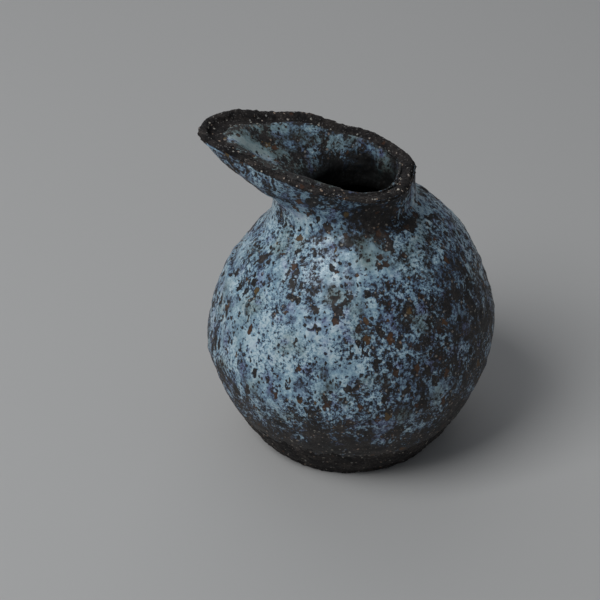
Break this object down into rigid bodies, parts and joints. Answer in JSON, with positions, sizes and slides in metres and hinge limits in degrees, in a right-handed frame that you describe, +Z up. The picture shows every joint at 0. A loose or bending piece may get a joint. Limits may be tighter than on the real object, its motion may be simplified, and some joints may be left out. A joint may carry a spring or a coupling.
{
  "type": "ceramic pitcher",
  "caption": "Small hand-built stoneware pitcher with a round belly, flat foot, short oval neck and a flared lip drawn out to a pouring spout, speckled pale glaze over dark clay.",
  "frame": {"origin": "centre of the foot's resting face", "axes": "+Z up through the belly and neck, -X towards the tip of the spout, the body is symmetric about the XZ plane and the lip nearly so"},
  "size_m": [0.0902, 0.0902, 0.1041],
  "materials": {
    "foot_clay": "matte dark groggy stoneware",
    "body_clay": "matte dark groggy stoneware",
    "rim_clay": "matte dark groggy stoneware with pale grit",
    "outer_glaze": "satin pale blue glaze with dark iron speckle",
    "mouth_glaze": "satin pale grey-blue glaze with dark speckle",
    "liner_glaze": "satin pale grey-blue glaze"
  },
  "bodies": {
    "root": {"foot_disc": "foot_clay", "lower_wall": "body_clay", "upper_dome": "body_clay", "neck_collar": "body_clay", "spout_rim": "rim_clay", "outer_glaze": "outer_glaze", "mouth_glaze": "mouth_glaze", "liner_glaze": "liner_glaze"}
  },
  "joints": []
}
